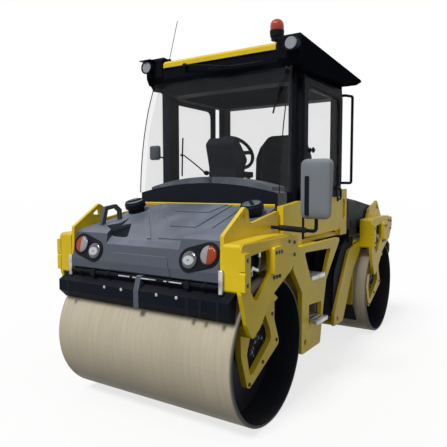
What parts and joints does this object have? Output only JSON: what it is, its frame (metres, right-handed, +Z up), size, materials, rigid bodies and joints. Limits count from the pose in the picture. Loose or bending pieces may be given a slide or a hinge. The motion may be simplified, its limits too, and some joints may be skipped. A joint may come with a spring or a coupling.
{
  "type": "tandem road roller",
  "caption": "Tandem road roller with smooth steel drums in forked frames, a steering joint amidships, a closed glazed cab, a dark tank hood in front and a tipping engine hood behind.",
  "frame": {"origin": "on the ground, under the steering pin, midway between the drums", "axes": "+X forwards, +Y to the driver's left, +Z up"},
  "size_m": [3.9998, 2.086, 3.3723],
  "materials": {
    "paint_yellow": "gloss",
    "dark_plastic": "satin",
    "dark_paint": "satin",
    "drum_steel": "rolled",
    "bare_steel": "plain",
    "clear_glass": "clear",
    "lamp_glass": "clear",
    "amber_lens": "gloss",
    "red_lens": "gloss",
    "grey_plastic": "satin",
    "seat_cloth": "woven"
  },
  "bodies": {
    "front_frame": {"antenna": "dark_paint", "articulation_pin": "bare_steel", "beacon_base": "dark_paint", "beacon_dome": "amber_lens", "cab_base": "paint_yellow", "cab_frame": "dark_paint", "cab_roof": "dark_paint", "dashboard": "dark_plastic", "door_hinges": "dark_paint", "front_beam": "dark_paint", "front_bulkhead": "paint_yellow", "front_drum_carriers": "dark_paint", "front_fork_left": "paint_yellow", "front_fork_right": "paint_yellow", "front_headlamps": "lamp_glass", "front_hood": "dark_plastic", "front_indicators": "amber_lens", "front_scraper": "dark_paint", "front_side_plates": "paint_yellow", "front_sprinkler_bar": "dark_paint", "handrails": "dark_paint", "mirror_arm": "dark_paint", "mirror_housing": "grey_plastic", "quarter_windows": "clear_glass", "rear_window": "clear_glass", "roof_cap": "paint_yellow", "seat_back": "seat_cloth", "seat_base": "dark_paint", "seat_cushion": "seat_cloth", "steering_console": "dark_plastic", "steering_wheel": "grey_plastic", "step_plates": "paint_yellow", "steps": "bare_steel", "tank_caps": "dark_plastic", "windscreen": "clear_glass", "work_lamps": "lamp_glass"},
    "rear_frame": {"rear_deck": "paint_yellow", "rear_side_plates": "paint_yellow", "rear_core": "dark_paint", "rear_fork_left": "paint_yellow", "rear_fork_right": "paint_yellow", "rear_drum_carriers": "dark_paint", "engine": "dark_paint", "rear_panel": "dark_plastic", "rear_lamps": "red_lens", "rear_beam": "dark_paint", "rear_scraper": "dark_paint", "rear_sprinkler_bar": "dark_paint"},
    "rear_hood": {"rear_hood": "dark_plastic"},
    "front_drum": {"front_drum": "drum_steel"},
    "rear_drum": {"rear_drum": "drum_steel"},
    "door_left": {"door_left_frame": "dark_paint", "door_left_panel": "paint_yellow", "door_left_glass": "clear_glass"},
    "door_right": {"door_right_frame": "dark_paint", "door_right_panel": "paint_yellow", "door_right_glass": "clear_glass"}
  },
  "joints": [
    {"name": "steering", "type": "hinge", "parent": "front_frame", "child": "rear_frame", "pos_m": [0, 0, 0.675], "axis": [0, 0, 1], "range_deg": [-35, 35]},
    {"name": "front_drum_spin", "type": "hinge", "parent": "front_frame", "child": "front_drum", "pos_m": [1.45, 0, 0.55], "axis": [0, 1, 0], "continuous": true},
    {"name": "rear_drum_spin", "type": "hinge", "parent": "rear_frame", "child": "rear_drum", "pos_m": [-1.45, 0, 0.55], "axis": [0, 1, 0], "continuous": true},
    {"name": "door_left_swing", "type": "hinge", "parent": "front_frame", "child": "door_left", "pos_m": [0.705, 0.758, 2], "axis": [0, 0, -1], "range_deg": [0, 80]},
    {"name": "door_right_swing", "type": "hinge", "parent": "front_frame", "child": "door_right", "pos_m": [0.705, -0.758, 2], "axis": [0, 0, 1], "range_deg": [0, 80]},
    {"name": "rear_hood_tip", "type": "hinge", "parent": "rear_frame", "child": "rear_hood", "pos_m": [-1.905, 0, 1.32], "axis": [0, -1, 0], "range_deg": [0, 55]}
  ]
}
